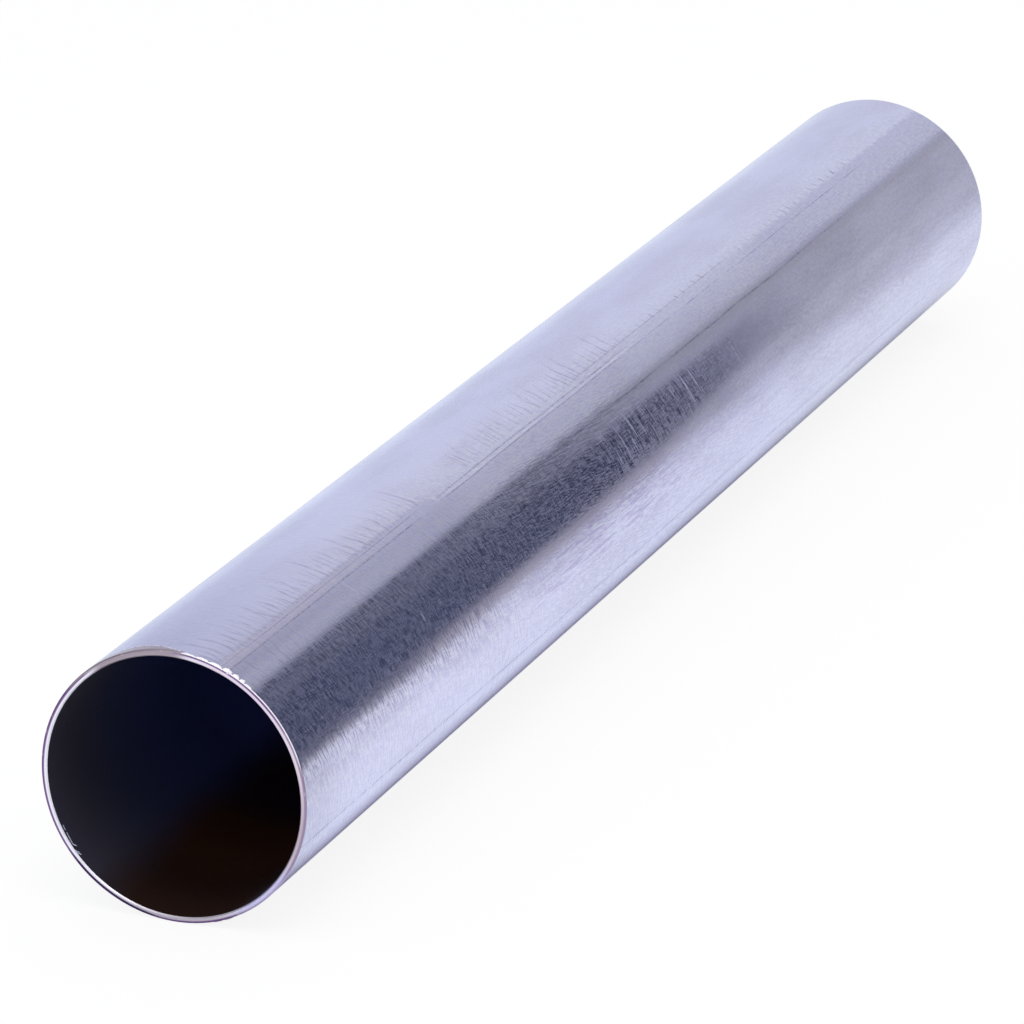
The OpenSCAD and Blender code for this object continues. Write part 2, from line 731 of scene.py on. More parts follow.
    def _dark_marks(self, graph: Graph, at: Surface) -> Socket:
        """Every dark line in the zinc as one mask: seam lines, chatter beside them and die lines."""
        low = self.seam_angle - self.seam_half
        foot = self.seam_angle + self.seam_half - 0.6
        lines = (
            Hairline(low, 0.62, 0.2, -202.0, -100.0, 0.4, 1.0),
            Hairline(low + 3.4, 0.4, 0.3, -202.0, -97.0, 0.45, 9.0),
            Hairline(low + 0.2, 0.52, 0.5, -98.0, 4.0, 0.25, 2.0),
            Hairline(low + 0.2, 0.36, 0.3, -4.0, 150.0, 0.65, 8.0),
            Hairline(low + 2.6, 0.50, 0.7, -98.0, 5.0, 0.25, 3.0),
            Hairline(foot + 0.4, 0.36, 0.15, -24.0, 70.0, 0.4, 4.0),
            Hairline(50.0, 0.8, 0.9, -75.0, 125.0, 0.65, 5.0),
            Hairline(-18.0, 0.8, 0.3, -204.0, 160.0, 0.3, 6.0, 0.8),
        )
        rows = (
            ChatterRow(3.4, 0.52, foot, 25.0, -197.0, -94.0, 11.0, 0.70),
            ChatterRow(1.9, 0.36, foot, 20.0, -197.0, -94.0, 12.0, 0.56),
            ChatterRow(3.7, 0.52, foot, 26.0, -80.0, 8.0, 13.0, 0.74, lean=0.9),
            ChatterRow(2.1, 0.36, foot, 18.0, -80.0, 0.0, 14.0, 0.58, lean=0.9),
            ChatterRow(3.6, 0.55, foot, 4.5, -8.0, 150.0, 15.0, 0.90),
            ChatterRow(1.7, 0.80, foot - 1.0, 3.4, -190.0, -106.0, 18.0, 0.48),
            ChatterRow(2.6, 0.35, 53.0, 30.0, -198.0, -158.0, 16.0, 0.45),
            ChatterRow(2.2, 0.35, 42.0, 30.0, -112.0, -93.0, 17.0, 0.60),
        )
        marks = [at.draw(at.groups.hairline, line) for line in lines]
        return graph.largest(*marks, *(at.draw(at.groups.chatter, row) for row in rows))

    def _lee(self, graph: Graph, at: Surface) -> Socket:
        """The duller strip on the low side of the weld, with a ragged upper edge."""
        wear = graph.patchwork((at.along, 2.4), seed=2.0, detail=4.0, rough=0.6)
        bare = graph.window(at.along, -100.0, 18.0, 10.0)
        edge = graph.shift(self.seam_angle + self.seam_half - 4.1, wear, 8.0)
        edge = graph.shift(edge, bare, -4.2)
        soft = graph.ramp(at.along, -20.0, 60.0, -0.6, -2.6)
        under = graph.ramp(graph.minus(at.around, edge), soft, 0.5, 1.0, 0.0)
        share = graph.shift(1.0, graph.window(at.along, -105.0, 90.0, 30.0), -0.60)
        return graph.product(under, share, graph.ramp(at.around, 46.0, 52.0))

    def _colour(self, graph: Graph, at: Surface, marks: ZincMarks) -> Socket:
        """Lays the tints over each other: dull zinc, stains, lines, scratches, a glint, painted shade near
        the mouth and along the lower limb, and the filed mouth.
        """
        along, around = at.along, at.around
        dullness = graph.ramp(marks.patches, 0.36, 0.66, 0.0, 0.75)
        tone = graph.math("MULTIPLY_ADD", marks.relief, 0.8, dullness, clamp=True)
        streak = graph.product(graph.window(around, -34.0, 62.0, 14.0), 0.45)
        # Painted shade: towards the near mouth, the zinc above 20 degrees takes the lee strip's duller
        # tone, fading out 105 mm short of the middle.
        mouth = graph.product(graph.ramp(along, -190.0, -105.0, 1.0, 0.0), graph.ramp(around, 20.0, 62.0))
        worn = graph.ramp(along, -190.0, -110.0, 0.16, 0.0)
        worn = graph.plus(worn, graph.ramp(along, -60.0, 30.0, 0.10, 0.0))
        scuffs = at.strokes(at.arc, Along_size=11.0, Arc_size=0.75, Seed=4.0)
        scuffed = at.area((-92.0, 6.0, 24.0), (-6.0, 21.0, 8.0), 0.42)
        ridge = Hairline(self.seam_angle - 1.8, 0.9, 0.5, -99.0, 10.0, 0.6, 2.0, 0.35)
        glint = Hairline(-22.0, 1.5, 0.4, -204.0, 145.0, 0.45, 7.0, 0.3)

        nicks = graph.patchwork((at.arc, 0.9), seed=6.0)
        depth = graph.shift(graph.product(graph.window(around, 74.0, 164.0, 34.0), 2.7), nicks, 0.5)
        past = graph.minus(graph.plus(along, MOUTH_AT + 0.1), depth)
        top = graph.window(around, 76.0, 148.0, 8.0)
        lip = graph.product(graph.window(past, -0.15, 0.25, 0.15), top, 0.9)
        return graph.layered(
            graph.blend(tone, self.clean, self.dull),
            (graph.product(graph.ramp(marks.dashes, 0.05, 0.5), streak), self.dull),
            (at.patch((45.0, 54.5, 4.0), (-60.0, 20.0, 0.0, 0.40)), self.tan),
            (self._lee(graph, at), self.lee),
            # painted shade towards the near mouth
            (mouth, self.lee),
            (graph.product(graph.window(around, 57.0, 70.0, 5.0), worn), self.mark),
            (at.patch((-32.0, 8.0, 9.0), (-110.0, -30.0, 0.42, 0.14)), self.silver),
            (at.patch((64.4, 71.4, 1.6), (-155.0, -92.0, 0.34, 0.0)), self.rusty),
            (graph.product(graph.ramp(marks.fans, 0.02, 0.40), marks.torn, 0.45), self.ragged),
            # Painted shade: the lower limb, from -60 to -31.5 degrees, is painted mauve up to 40 mm past
            # the middle, fading out by 100 mm; the mauve scuffs below are marks.
            (at.patch((-60.0, -31.5, 5.0), (40.0, 100.0, 0.7, 0.0)), self.mauve),
            (graph.product(graph.ramp(scuffs, 0.0, 0.42), scuffed), self.mauve),
            (graph.product(marks.dark, 0.7), self.mark),
            (graph.product(marks.cuts, 0.5), self.bright),
            (at.draw(at.groups.hairline, ridge), self.bright),
            (at.draw(at.groups.hairline, glint), self.bright),
            (graph.ramp(past, -0.15, 0.05, 1.0, 0.0), self.filed),
            (lip, graph.blend(graph.ramp(nicks, 0.42, 0.52), self.mark, self.bright)),
        )

    def _shade(self, graph: Graph, at: Surface, marks: ZincMarks) -> Socket:
        """Works out what the colour is multiplied by: mottle, hollows, two darker patches on the low side
        near the mouth, and slow tints.
        """
        along, around = at.along, at.around
        mottle = graph.patchwork((along, 1.1), (at.arc, 0.9), seed=8.0, detail=2.0)
        mottle = graph.ramp(mottle, 0.34, 0.66, -1.0, 1.0)
        pitted = graph.ramp(along, -70.0, 90.0, 0.35, 1.0)
        pitted = graph.product(pitted, graph.ramp(around, 72.0, 96.0, 1.0, 0.35))
        swing = graph.shift(-0.055, graph.window(around, 47.0, 72.0, 5.0), -0.035)
        shade = graph.plus(graph.product(mottle, pitted, 0.045), 1.0)
        shade = graph.shift(shade, graph.ramp(marks.relief, -0.4, 0.4, -1.0, 1.0), swing)
        # Darker along the brushed lines, and in two patches on the low side near the mouth.
        darker = (
            (graph.product(graph.ramp(marks.lines, 0.04, -0.30), marks.brushed), -0.20),
            (graph.product(graph.ramp(along, -168.0, -186.0), graph.ramp(around, 24.0, 14.0)), -0.15),
            (at.area((-94.0, -38.0, 16.0), (2.0, 18.0, 6.0)), -0.12),
        )
        for where, share in darker:
            shade = graph.shift(shade, where, share)
        red = graph.shift(shade, graph.ramp(around, 106.0, 122.0), -0.10)
        far = graph.product(graph.ramp(along, 30.0, 100.0), graph.ramp(around, 52.0, 76.0, 1.0, 0.3))
        blue = graph.plus(shade, graph.ramp(marks.relief, -0.4, 0.4, -0.05, 0.08))
        return graph.vector(red, shade, graph.shift(blue, far, -0.055))

    def _haze(self, graph: Graph, marks: ZincMarks) -> Socket:
        """Works out how metallic the zinc is, with pale dust on the high strokes."""
        haze = graph.ramp(marks.relief, -0.40, 0.28, 1.0, 1.0 - self.dust)
        paler = (
            (graph.product(graph.ramp(marks.lines, 0.04, 0.36), marks.brushed), -0.07),
            (graph.product(marks.tip, graph.ramp(marks.relief, -0.2, 0.6)), -0.05),
            (graph.product(marks.torn, graph.ramp(marks.fans, -0.02, -0.40)), -0.16),
        )
        for where, share in paler:
            haze = graph.shift(haze, where, share)
        return haze

    def _gloss(self, graph: Graph, marks: ZincMarks) -> Socket:
        """Works out the roughness, which the high strokes, patches and cuts raise."""
        gloss = graph.shift(self.roughness, graph.plus(marks.relief, 0.10), 0.12)
        rougher = ((graph.minus(marks.patches, 0.5), 0.12), (marks.cuts, 0.25), (marks.dark, 0.15))
        for where, share in rougher:
            gloss = graph.shift(gloss, where, share)
        return graph.largest(gloss, self.least_roughness)


@dataclass(frozen=True)
class CutSteelFinish(Finish):
    """Sawn steel on the end of the wall: bright towards the bore, dark where it meets the zinc."""

    title = "sawn steel"
    bright: Colour = (0.90, 0.90, 1.0)
    rosy: Colour = (0.84, 0.75, 0.88)
    matte: Colour = (0.38, 0.32, 0.38)
    lilac: Colour = (0.56, 0.54, 0.86)
    dark: Colour = (0.21, 0.12, 0.30)
    roughness: float = 0.36

    def sockets(self, graph: Graph, at: Surface) -> dict[str, object]:
        """Works out what the shader is fed, as the base class says."""
        grit = graph.clouds(graph.place(), 4200.0, detail=2.0)
        turned = graph.clouds(graph.vector(graph.over(at.around, 22.0), graph.product(at.radius, 9.0)))
        near = graph.ramp(at.along, -100.0, 100.0, 0.95, 0.0)
        foot = graph.window(at.around, *LILAC_SPAN)
        deep = graph.window(at.around, *LOW_RIM_SPAN)
        worn = graph.product(graph.ramp(at.side, 16.0, 23.0), graph.ramp(at.height, 12.0, -6.0), 0.62)

        wider = graph.shift(at.radius, graph.ramp(at.side, -4.0, -14.0), 0.10)
        rim = graph.ramp(graph.shift(wider, deep, 0.10), 24.45, 24.66)
        faded = graph.largest(
            graph.ramp(at.side, 17.0, 23.0), graph.ramp(at.height, 18.0, 22.5), graph.product(foot, 1.5)
        )
        top = graph.product(graph.window(at.around, 84.0, 134.0, 10.0), near)
        rim = graph.product(rim, graph.shift(1.0, faded, -0.5), graph.shift(1.0, top, -0.85))
        colour = graph.layered(
            graph.blend(graph.window(at.around, -35.0, 88.0, 20.0), self.bright, self.rosy),
            (worn, self.matte),
            (graph.ramp(at.height, -19.0, -24.0, 0.0, 0.6), self.matte),
            (graph.product(graph.window(at.around, 80.0, 131.0, 9.0), near), self.matte),
            (graph.ramp(turned, 0.5, 0.75, 0.0, 0.35), self.matte),
            (graph.product(foot, 0.75), self.lilac),
            (rim, graph.blend(deep, self.dark, LOW_RIM_DARK)),
        )
        return {
            "Base Color": colour,
            "Metallic": 1.0,
            "Roughness": graph.shift(self.roughness, grit, 0.2),
            "Normal": graph.bump(grit, 0.01, 0.6),
        }


@dataclass(frozen=True)
class ArrisFinish(Finish):
    """The rolled outer edge of a cut, where the zinc is dark and thin, with a painted highlight along its
    outer rim.
    """

    title = "rolled edge"
    dark: Colour = (0.15, 0.07, 0.24)
    rosy: Colour = (0.42, 0.36, 0.46)
    filed: Colour = (0.42, 0.36, 0.40)
    lilac: Colour = (0.40, 0.34, 0.58)
    bright: Colour = (0.98, 0.96, 1.0)
    roughness: float = 0.3

    def sockets(self, graph: Graph, at: Surface) -> dict[str, object]:
        """Works out what the shader is fed, as the base class says."""
        nicks = graph.patchwork((at.arc, 1.6), seed=3.0)
        # Painted highlight: the outermost rim from 10 to 88 degrees is painted near white and made far less
        # metallic; the scattered bright nicks are chips.
        rolled = graph.product(
            graph.ramp(at.radius, 24.86, 24.93), graph.window(at.around, 10.0, 88.0, 12.0)
        )
        under = graph.product(
            graph.window(at.radius, 24.66, 24.86, 0.06), graph.window(at.around, 42.0, 86.0, 12.0)
        )
        near = graph.ramp(at.along, -100.0, 100.0, 0.9, 0.0)
        colour = graph.layered(
            self.dark,
            (graph.ramp(at.side, 17.0, 23.0, 0.0, 0.6), self.rosy),
            (graph.window(at.around, *LOW_RIM_SPAN), LOW_RIM_DARK),
            (graph.window(at.around, *LILAC_SPAN), self.lilac),
            (graph.product(graph.window(at.around, 80.0, 146.0, 12.0), near), self.filed),
            (graph.product(under, 0.8), self.dark),
            (graph.largest(rolled, graph.ramp(nicks, 0.60, 0.72, 0.0, 0.7)), self.bright),
        )
        # far less metallic on the painted highlight
        metal = graph.shift(0.8, rolled, -0.65)
        return {"Base Color": colour, "Metallic": metal, "Roughness": self.roughness}


@dataclass(frozen=True)
class EnamelFinish(Finish):
    """Dark baked enamel that lines the bore, blue-black on the walls and brown-black underneath, its blue
    painted lighter further in.
    """

    title = "bore enamel"
    scuffed: Colour = (0.034, 0.032, 0.050)
    cool: Colour = (0.050, 0.078, 0.270)
    deep: Colour = (0.130, 0.160, 0.600)
    soot: Colour = (0.018, 0.007, 0.004)
    warm: Colour = (0.052, 0.019, 0.006)
    dusk: Colour = (0.023, 0.008, 0.017)
    roughness: float = 0.5
    shine: float = 0.16

    def sockets(self, graph: Graph, at: Surface) -> dict[str, object]:
        """Works out what the shader is fed, as the base class says."""
        place = graph.place()
        drift = graph.product(graph.minus(graph.clouds(place, 30.0), 0.5), 4.0)
        below = graph.ramp(graph.plus(at.height, drift), -16.5, -22.5)
        depth = graph.minus(MOUTH_AT, graph.math("ABSOLUTE", at.along))
        runs = graph.clouds(place, 1500.0, detail=2.0)
        # Painted light: the blue grows lighter further into the bore, making up for the light that falls
        # off inside it.
        blue = graph.blend(graph.ramp(depth, 5.0, 72.0), self.scuffed, self.cool)
        blue = graph.blend(graph.ramp(depth, 55.0, 92.0), blue, self.deep)
        brown = graph.blend(graph.ramp(depth, 12.0, 36.0), self.soot, self.warm)
        brown = graph.blend(graph.ramp(depth, 40.0, 56.0), brown, self.dusk)
        return {
            "Base Color": graph.blend(below, blue, brown),
            "Roughness": graph.shift(self.roughness, runs, 0.15),
            "Specular IOR Level": self.shine,
            "Normal": graph.bump(runs, 0.01, 0.5),
        }


@dataclass(frozen=True)
class BurrFinish(Finish):
    """Torn bright metal on the lumps and slivers that the cut left."""

    title = "torn burr"
    bright: Colour = (0.97, 0.96, 0.99)
    shade: Colour = (0.55, 0.50, 0.62)
    cool: Colour = (0.42, 0.46, 0.66)
    metallic: float = 0.25
    roughness: float = 0.35

    def sockets(self, graph: Graph, at: Surface) -> dict[str, object]:
        """Works out what the shader is fed, as the base class says."""
        torn = graph.clouds(graph.place(), 1800.0)
        colour = graph.layered(
            self.bright,
            (graph.ramp(at.side, -12.0, 0.0, 1.0, 0.0), self.cool),
            (graph.ramp(torn, 0.54, 0.74), self.shade),
        )
        return {
            "Base Color": colour,
            "Metallic": self.metallic,
            "Roughness": self.roughness,
            "Normal": graph.bump(torn, 0.04, 0.7),
        }


# --------------------------------------------------------------------------------------------------
# The pipe
# --------------------------------------------------------------------------------------------------


def finish_object(
    name: str, mesh_data: bmesh.types.BMesh, materials: list[bpy.types.Material]
) -> bpy.types.Object:
    """Turns a bmesh into an object at the origin.

    Args:
        name: The object's name.
        mesh_data: The geometry. It is freed.
        materials: The object's materials, in slot order.

    Returns:
        The object, linked to the scene.
    """
    mesh = bpy.data.meshes.new(name)
    mesh_data.to_mesh(mesh)
    mesh_data.free()
    for material in materials:
        mesh.materials.append(material)
    made = bpy.data.objects.new(name, mesh)
    bpy.context.scene.collection.objects.link(made)
    return made


@dataclass
class ConduitPipe:
    """The pipe: a turned tube with rolled and reamed ends, a scarfed seam and an inside bead.

    The lengths are in metres. The radii, the length and the height of the axis come from the frame.
    """

    outer_r: float
    bore_r: float
    length: float
    axis_z: float
    arris_r: float = 0.3 * MM
    ream: float = 0.2 * MM
    seam_angle: float = 68.0
    scarf_w: float = 2.75 * MM
    bead_w: float = 1.6 * MM
    bead_h: float = 0.15 * MM
    bead_fade: float = 8.0 * MM
    steps: int = 480
    rows: int = 72
    saw_wave: float = 0.03 * MM
    roll_wave: float = 0.02 * MM

    @classmethod
    def from_frame(cls, record: dict) -> ConduitPipe:
        """Takes the pipe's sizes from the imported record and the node's box.

        Args:
            record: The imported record.

        Returns:
            The pipe, not built yet.
        """
        radius = {mount["name"]: mount["dims"].get("r_mm", 0.0) * MM for mount in record["mounts"]}
        low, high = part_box(NODE)
        middle = next(mount["pos_m"] for mount in record["mounts"] if mount["name"] == "outside")
        return cls(
            outer_r=radius["outside"], bore_r=radius["bore"], length=high.y - low.y, axis_z=middle[2]
        )

    def end_y(self, end: End) -> float:
        """Where a cut end lies along Y."""
        return end.value * self.length / 2

    def place(self, radius: float, degrees: float, y: float) -> Vector:
        """Gives a point by its distance from the axis, its angle from +X towards +Z, and its Y."""
        turn = math.radians(degrees)
        return Vector((radius * math.cos(turn), y, self.axis_z + radius * math.sin(turn)))

    def degrees(self, point: Vector) -> float:
        """Gives a point's angle round the pipe, from -90 up to 270."""
        turned = math.degrees(math.atan2(point.z, point.x))
        return turned + 360.0 if turned < -90.0 else turned

    def build(self, materials: dict[Skin, bpy.types.Material]) -> bpy.types.Object:
        """Models the pipe and dresses it.

        Args:
            materials: A material for each skin.

        Returns:
            The pipe's object.
        """
        bm = bmesh.new()
        self._turn_wall(bm)
        self._dress_edges(bm)
        self._divide(bm)
        self._sort_skins(bm)
        self._press_seam(bm)
        self._unsettle(bm)
        self._crease(bm)
        self._lay_ruler(bm)
        bmesh.ops.translate(bm, verts=bm.verts, vec=(0.0, 0.0, self.axis_z))
        made = finish_object("conduit_pipe", bm, [materials[skin] for skin in Skin])
        LOG.info("conduit_pipe: %d faces, %.0f mm long", len(made.data.polygons), self.length / MM)
        return made

    def _turn_wall(self, bm: bmesh.types.BMesh) -> None:
        """Spins the wall's square-cornered section round the Y axis."""
        half = self.length / 2
        corners = ((self.bore_r, -half), (self.outer_r, -half), (self.outer_r, half), (self.bore_r, half))
        verts = [bm.verts.new((radius, y, 0.0)) for radius, y in corners]
        edges = [bm.edges.new((verts[i - 1], verts[i])) for i in range(len(verts))]
        bmesh.ops.spin(
            bm,
            geom=verts + edges,
            axis=(0.0, 1.0, 0.0),
            cent=(0.0, 0.0, 0.0),
            angle=math.tau,
            steps=self.steps,
            use_merge=True,
        )
        bmesh.ops.recalc_face_normals(bm, faces=bm.faces)

    def _ring(self, bm: bmesh.types.BMesh, radius: float, end: End) -> list[bmesh.types.BMEdge]:
        """Finds the ring of edges at one radius on a cut end."""
        y = self.end_y(end)
        slack = 0.01 * MM

        def on_ring(vert: bmesh.types.BMVert) -> bool:
            return max(abs(vert.co.y - y), abs(math.hypot(vert.co.x, vert.co.z) - radius)) < slack

        return [edge for edge in bm.edges if all(map(on_ring, edge.verts))]

    def _dress_edges(self, bm: bmesh.types.BMesh) -> None:
        """Rolls the outer edge of each cut and reams the inner one."""
        for end in End:
            for radius, width, segments in ((self.outer_r, self.arris_r, 5), (self.bore_r, self.ream, 1)):
                bmesh.ops.bevel(
                    bm,
                    geom=self._ring(bm, radius, end),
                    offset=width,
                    offset_type="OFFSET",
                    affect="EDGES",
                    segments=segments,
                    profile=0.5,
                    material=-1,
                )

    def _divide(self, bm: bmesh.types.BMesh) -> None:
        """Cuts the long walls into rows, with closer rows at the ends to hold the shading."""
        half = self.length / 2
        pitch = self.length / self.rows
        margins = (1.2 * MM, 4.0 * MM)
        inner = [-half + pitch * i for i in range(2, self.rows - 1)]
        stations = sorted([*inner, *(s * (half - m) for s in (-1, 1) for m in margins)])
        for y in stations:
            geometry = [*bm.verts, *bm.edges, *bm.faces]
            plane = {"plane_co": (0.0, y, 0.0), "plane_no": (0.0, 1.0, 0.0)}
            bmesh.ops.bisect_plane(bm, geom=geometry, dist=1e-7, **plane)

    def _sort_skins(self, bm: bmesh.types.BMesh) -> None:
        """Gives each face the material slot of its skin and makes it smooth."""
        middle_r = (self.outer_r + self.bore_r) / 2
        square = 0.999
        level = 0.02
        for face in bm.faces:
            centre = face.calc_center_median()
            facing = abs(face.normal.y)
            outside = math.hypot(centre.x, centre.z) > middle_r
            if facing > square:
                skin = Skin.CUT
            elif facing < level:
                skin = Skin.ZINC if outside else Skin.ENAMEL
            else:
                skin = Skin.ARRIS if outside else Skin.CUT
            face.material_index = skin.value
            face.smooth = True

    def _press_seam(self, bm: bmesh.types.BMesh) -> None:
        """Shaves the weld flat outside and raises its bead inside."""
        turn = math.radians(self.seam_angle)
        out = Vector((math.cos(turn), 0.0, math.sin(turn)))
        across = Vector((-math.sin(turn), 0.0, math.cos(turn)))
        reach = math.sqrt(self.outer_r**2 - (self.scarf_w / 2) ** 2)
        crown_r = (self.bead_h**2 + (self.bead_w / 2) ** 2) / (2 * self.bead_h)
        half = self.length / 2
        slack = 0.02 * MM
        for vert in bm.verts:
            depth, side = vert.co.dot(out), abs(vert.co.dot(across))
            if depth > reach:
                vert.co -= out * (depth - reach)
            on_bore = abs(math.hypot(vert.co.x, vert.co.z) - self.bore_r) < slack
            if on_bore and depth > 0.0 and side < self.bead_w / 2:
                crown = self.bore_r - self.bead_h + crown_r - math.sqrt(crown_r**2 - side**2)
                dressed = min(1.0, max(0.0, (half - abs(vert.co.y)) / self.bead_fade))
                vert.co -= out * max(0.0, depth - crown) * dressed

    def _unsettle(self, bm: bmesh.types.BMesh) -> None:
        """Takes the perfection off: a slow roll wave in the wall and a saw's wave in each cut."""
        half = self.length / 2
        for vert in bm.verts:
            spoke = Vector((vert.co.x, 0.0, vert.co.z))
            radius = spoke.length
            spoke.normalize()
            if abs(abs(vert.co.y) - half) < 2 * self.arris_r:
                wave = noise.noise(Vector((spoke.x * 3.1, spoke.z * 3.1, vert.co.y * 40.0)))
                vert.co.y += self.saw_wave * wave
            elif radius > self.bore_r + self.ream:
                wave = noise.noise(Vector((spoke.x * 2.6, vert.co.y / (26.0 * MM), spoke.z * 2.6)))
                vert.co += spoke * self.roll_wave * (wave - 1.0) / 2

    def _crease(self, bm: bmesh.types.BMesh) -> None:
        """Marks as sharp every edge that bends more than a rolled edge does."""
        bm.normal_update()
        sharpest = math.radians(30.0)
        for edge in bm.edges:
            edge.smooth = edge.calc_face_angle(0.0) < sharpest

    def _lay_ruler(self, bm: bmesh.types.BMesh) -> None:
        """Writes the ruler: millimetres along in U, and degrees round in V."""
        layer = bm.loops.layers.uv.new(RULER)
        for face in bm.faces:
            around = self.degrees(face.calc_center_median())
            for loop in face.loops:
                own = self.degrees(loop.vert.co)
                own += 360.0 * round((around - own) / 360.0)
                loop[layer].uv = (loop.vert.co.y / MM, own)


@dataclass(frozen=True)
class Lump:
    """A torn lump on the outer edge of the mouth, by the angles it spans and its sizes in mm."""

    start: float
    stop: float
    depth: float
    lift: float


@dataclass(frozen=True)
class Sliver:
    """A sliver off the inner edge, by its angles, its two gaps from the bore and its width in mm."""

    start: float
    stop: float
    first_gap: float
    last_gap: float
    width: float


@dataclass
class MouthBurrs:
    """The burr that the saw left at the near mouth: lumps outside, slivers inside.

    The lumps overlap the outer wall a little and are set back from the cut face.
    """

    pipe: ConduitPipe
    lumps: tuple[Lump, ...] = (
        Lump(79.5, 85.5, 0.60, 0.07),
        Lump(73.6, 79.2, 0.75, 0.09),
        Lump(67.6, 73.4, 0.85, 0.11),
        Lump(63.1, 67.3, 1.35, 0.22),
        Lump(59.6, 62.8, 1.30, 0.20),
        Lump(56.8, 59.3, 1.15, 0.16),
        Lump(53.2, 56.6, 0.75, 0.10),
        Lump(49.5, 53.5, 0.35, 0.04),
        Lump(287.0, 291.0, 0.35, 0.05),
        Lump(292.0, 296.0, 0.40, 0.05),
    )
    slivers: tuple[Sliver, ...] = (
        Sliver(205.5, 208.0, 0.40, 0.42, 0.05),
        Sliver(209.0, 214.6, 0.42, 0.32, 0.07),
        Sliver(214.2, 216.2, 0.32, 0.80, 0.07),
        Sliver(216.8, 220.4, -0.10, 0.55, 0.09),
        Sliver(217.4, 219.2, 0.05, 0.50, 0.06),
    )
    thickness: float = 0.08 * MM
    overlap: float = 0.02 * MM
    crumple: float = 0.03 * MM
    setback: float = 0.10 * MM
    facet_degrees: float = 0.4
    chance: random.Random = field(default_factory=lambda: random.Random(41))

    def build(self, material: bpy.types.Material) -> bpy.types.Object:
        """Models every lump and sliver as one mesh.

        Args:
            material: The torn metal.

        Returns:
            The burrs' object.
        """
        bm = bmesh.new()
        for lump in self.lumps:
            self._tear_lump(bm, lump)
        for sliver in self.slivers:
            self._curl_sliver(bm, sliver)
        for face in bm.faces:
            face.smooth = True
        bmesh.ops.recalc_face_normals(bm, faces=bm.faces)
        made = finish_object("mouth_burrs", bm, [material])
        LOG.info("mouth_burrs: %d lumps and %d slivers", len(self.lumps), len(self.slivers))
        return made

    def _sheet(self, bm: bmesh.types.BMesh, columns: int, rows: int) -> list[bmesh.types.BMVert]:
        """Makes a unit square grid, from 0 to 1 in X and Y, and returns its vertices."""
        made = bmesh.ops.create_grid(bm, x_segments=columns, y_segments=rows, size=0.5)
        bmesh.ops.translate(bm, verts=made["verts"], vec=(0.5, 0.5, 0.0))
        return made["verts"]

    def _thicken(self, bm: bmesh.types.BMesh, verts: list[bmesh.types.BMVert], share: float) -> None:
        """Gives a sheet its share of the full thickness."""
        faces = list({face for vert in verts for face in vert.link_faces})
        bmesh.ops.solidify(bm, geom=faces, thickness=self.thickness * share)

    def _tear_lump(self, bm: bmesh.types.BMesh, lump: Lump) -> None:
        """Bulges a sheet over the outer edge and tears its back edge ragged."""
        columns = max(6, round((lump.stop - lump.start) / self.facet_degrees))
        verts = self._sheet(bm, columns, 4)
        near = self.pipe.end_y(End.NEAR)
        seed = self.chance.uniform(0.0, 50.0)
        for vert in verts:
            share, back = vert.co.x, vert.co.y
            degrees = lump.start + (lump.stop - lump.start) * share
            tear = 0.85 + 0.30 * noise.noise(Vector((degrees * 1.7, seed, 0.0)))
            taper = max(0.0, math.sin(math.pi * min(1.0, max(0.0, share)))) ** 0.4
            depth = lump.depth * MM * (0.2 + 0.8 * taper) * tear
            bulge = lump.lift * MM * math.sin(math.pi * (0.15 + 0.75 * back)) * taper
            crumple = self.crumple * noise.noise(Vector((degrees * 2.1, back * 3.0, seed)))
            y = near + self.setback + depth * back
            vert.co = self.pipe.place(self.pipe.outer_r - self.overlap + bulge + crumple, degrees, y)
        self._thicken(bm, verts, 1.0)

    def _curl_sliver(self, bm: bmesh.types.BMesh, sliver: Sliver) -> None:
        """Bends a thin sliver along the inner edge of the mouth."""
        verts = self._sheet(bm, 10, 2)
        near = self.pipe.end_y(End.NEAR)
        for vert in verts:
            share, breadth = vert.co.x, vert.co.y - 0.5
            gap = sliver.first_gap + (sliver.last_gap - sliver.first_gap) * share**1.5
            width = sliver.width * (0.35 + 0.65 * math.sin(math.pi * (0.1 + 0.8 * share)))
            degrees = sliver.start + (sliver.stop - sliver.start) * share
            radius = self.pipe.bore_r - (gap + width * breadth) * MM
            vert.co = self.pipe.place(radius, degrees, near + (0.25 + 0.2 * breadth) * MM)
        self._thicken(bm, verts, 0.45)


# --------------------------------------------------------------------------------------------------
# The studio
# --------------------------------------------------------------------------------------------------


